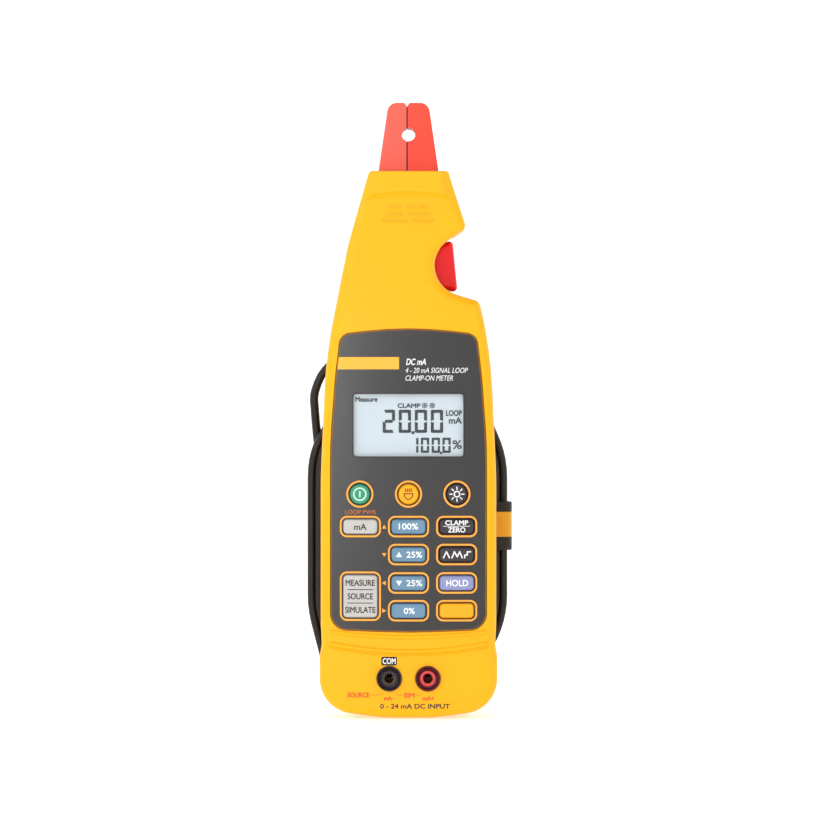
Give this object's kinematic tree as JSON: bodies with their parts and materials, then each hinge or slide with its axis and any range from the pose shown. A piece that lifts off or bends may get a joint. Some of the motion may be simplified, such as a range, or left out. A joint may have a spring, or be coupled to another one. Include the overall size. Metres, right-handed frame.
{
  "type": "clamp meter",
  "caption": "Slim handheld clamp meter for small currents, with two opening jaws, a side trigger, a keypad, a display, two jacks and a lead wound on its back.",
  "frame": {"origin": "middle of the battery door's outer face, the flat face on the meter's back", "axes": "+Z along the meter towards the jaws, +Y out of the back, -Y the display side, +X to the right of the display"},
  "size_m": [0.0843, 0.0427, 0.248],
  "materials": {
    "case_yellow": "fine satin texture",
    "bezel_grey": "fine matt texture",
    "lens_clear": "polished",
    "display_glass": "satin",
    "jaw_red": "satin",
    "trigger_red": "glossy",
    "jack_black": "satin",
    "jack_red": "satin",
    "key_grey": "satin",
    "key_blue": "satin",
    "key_dark": "satin",
    "key_lavender": "satin",
    "key_yellow": "satin",
    "key_green": "satin",
    "rubber_grey": "matt",
    "board_green": "solder resist",
    "core_steel": "laminated",
    "steel": "zinc plated",
    "brass": "polished",
    "cell_jacket": "printed sleeve",
    "tray_black": "satin",
    "cord_black": "satin",
    "strap_black": "woven"
  },
  "bodies": {
    "case": {"battery_1": "cell_jacket", "battery_2": "cell_jacket", "battery_3": "cell_jacket", "battery_4": "cell_jacket", "battery_contact_lower": "steel", "battery_contact_upper": "steel", "battery_door": "case_yellow", "battery_tray": "tray_black", "bezel": "bezel_grey", "case_screw_1": "steel", "case_screw_2": "steel", "case_screw_3": "steel", "case_screw_4": "steel", "contact_com": "brass", "contact_plus": "brass", "display_backlight": "key_grey", "display_lens": "lens_clear", "display_panel": "display_glass", "door_screw_1": "steel", "door_screw_2": "steel", "front_shell": "case_yellow", "jack_com": "jack_black", "jack_plus": "jack_red", "key_mat": "rubber_grey", "lead_coil": "cord_black", "lead_head_end": "cord_black", "lead_meter_end": "cord_black", "main_board": "board_green", "pivot_pin_left": "steel", "pivot_pin_right": "steel", "rear_shell": "case_yellow", "return_spring": "steel", "sensor_board": "board_green", "spotlight_lens": "lens_clear", "strain_relief_head": "cord_black", "strain_relief_meter": "cord_black", "strap": "strap_black"},
    "right_jaw_lever": {"jaw_right": "jaw_red", "core_right": "core_steel", "trigger": "trigger_red"},
    "left_jaw_lever": {"jaw_left": "jaw_red", "core_left": "core_steel"},
    "key_backlight_button": {"key_backlight": "key_dark"},
    "key_clamp_zero_button": {"key_clamp_zero": "key_dark"},
    "key_down_25_button": {"key_down_25": "key_blue"},
    "key_hold_button": {"key_hold": "key_lavender"},
    "key_ma_button": {"key_ma": "key_grey"},
    "key_mode_button": {"key_mode": "key_grey"},
    "key_percent_0_button": {"key_percent_0": "key_blue"},
    "key_percent_100_button": {"key_percent_100": "key_blue"},
    "key_power_button": {"key_power": "key_green"},
    "key_shift_button": {"key_shift": "key_yellow"},
    "key_spotlight_button": {"key_spotlight": "key_yellow"},
    "key_step_button": {"key_step": "key_dark"},
    "key_up_25_button": {"key_up_25": "key_blue"}
  },
  "joints": [
    {"name": "jaw_right_open", "type": "hinge", "parent": "case", "child": "right_jaw_lever", "pos_m": [0.005, -0.0235, 0.1352], "axis": [0, 1, 0], "range_deg": [0, 7], "stiffness_Nm_per_rad": 0.2, "springref_deg": -28.65, "deforming": ["return_spring"]},
    {"name": "jaw_left_open", "type": "hinge", "parent": "case", "child": "left_jaw_lever", "pos_m": [-0.005, -0.0235, 0.1352], "axis": [0, 1, 0], "range_deg": [-7, 0]},
    {"name": "key_backlight_press", "type": "slide", "parent": "case", "child": "key_backlight_button", "axis": [0, 1, 0], "range_m": [0, 0.0008], "stiffness_N_per_m": 400, "springref_m": -0.003},
    {"name": "key_clamp_zero_press", "type": "slide", "parent": "case", "child": "key_clamp_zero_button", "axis": [0, 1, 0], "range_m": [0, 0.0008], "stiffness_N_per_m": 400, "springref_m": -0.003},
    {"name": "key_down_25_press", "type": "slide", "parent": "case", "child": "key_down_25_button", "axis": [0, 1, 0], "range_m": [0, 0.0008], "stiffness_N_per_m": 400, "springref_m": -0.003},
    {"name": "key_hold_press", "type": "slide", "parent": "case", "child": "key_hold_button", "axis": [0, 1, 0], "range_m": [0, 0.0008], "stiffness_N_per_m": 400, "springref_m": -0.003},
    {"name": "key_ma_press", "type": "slide", "parent": "case", "child": "key_ma_button", "axis": [0, 1, 0], "range_m": [0, 0.0008], "stiffness_N_per_m": 400, "springref_m": -0.003},
    {"name": "key_mode_press", "type": "slide", "parent": "case", "child": "key_mode_button", "axis": [0, 1, 0], "range_m": [0, 0.0008], "stiffness_N_per_m": 400, "springref_m": -0.003},
    {"name": "key_percent_0_press", "type": "slide", "parent": "case", "child": "key_percent_0_button", "axis": [0, 1, 0], "range_m": [0, 0.0008], "stiffness_N_per_m": 400, "springref_m": -0.003},
    {"name": "key_percent_100_press", "type": "slide", "parent": "case", "child": "key_percent_100_button", "axis": [0, 1, 0], "range_m": [0, 0.0008], "stiffness_N_per_m": 400, "springref_m": -0.003},
    {"name": "key_power_press", "type": "slide", "parent": "case", "child": "key_power_button", "axis": [0, 1, 0], "range_m": [0, 0.0008], "stiffness_N_per_m": 400, "springref_m": -0.003},
    {"name": "key_shift_press", "type": "slide", "parent": "case", "child": "key_shift_button", "axis": [0, 1, 0], "range_m": [0, 0.0008], "stiffness_N_per_m": 400, "springref_m": -0.003},
    {"name": "key_spotlight_press", "type": "slide", "parent": "case", "child": "key_spotlight_button", "axis": [0, 1, 0], "range_m": [0, 0.0008], "stiffness_N_per_m": 400, "springref_m": -0.003},
    {"name": "key_step_press", "type": "slide", "parent": "case", "child": "key_step_button", "axis": [0, 1, 0], "range_m": [0, 0.0008], "stiffness_N_per_m": 400, "springref_m": -0.003},
    {"name": "key_up_25_press", "type": "slide", "parent": "case", "child": "key_up_25_button", "axis": [0, 1, 0], "range_m": [0, 0.0008], "stiffness_N_per_m": 400, "springref_m": -0.003}
  ],
  "couplings": [
    {"joint": "jaw_left_open", "follows": "jaw_right_open", "ratio": -1}
  ]
}
